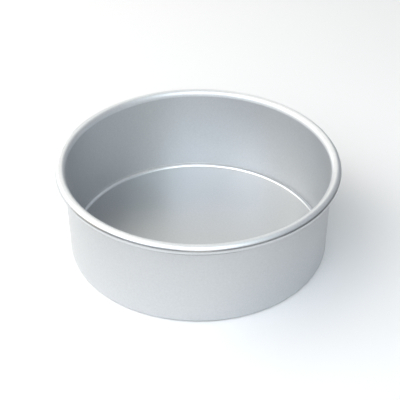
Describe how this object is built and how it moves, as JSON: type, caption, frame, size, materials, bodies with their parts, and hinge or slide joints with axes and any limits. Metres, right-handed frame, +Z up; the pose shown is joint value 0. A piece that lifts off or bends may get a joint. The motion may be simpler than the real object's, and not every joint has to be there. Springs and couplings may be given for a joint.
{
  "type": "round cake pan",
  "caption": "Round, deep cake pan in satin aluminium: slightly leaning wall, rim rolled outwards round a hidden wire, and a loose base that is pushed up and lifted out through the mouth.",
  "frame": {"origin": "on the pan's axis, in the plane that the pan stands on", "axes": "+Z up along the axis, out of the mouth; -Y towards the picture's camera; the pan is round, so X and Y are otherwise free"},
  "size_m": [0.218, 0.218, 0.075],
  "materials": {
    "satin_aluminium": "satin, fine even grain",
    "rim_wire_steel": "zinced drawn wire"
  },
  "bodies": {
    "pan": {"pan_wall": "satin_aluminium", "rim_wire": "rim_wire_steel"},
    "base": {"loose_base": "satin_aluminium"}
  },
  "joints": [
    {"name": "base_lift", "type": "slide", "parent": "pan", "child": "base", "axis": [0, 0, 1], "range_m": [0, 0.09]}
  ]
}
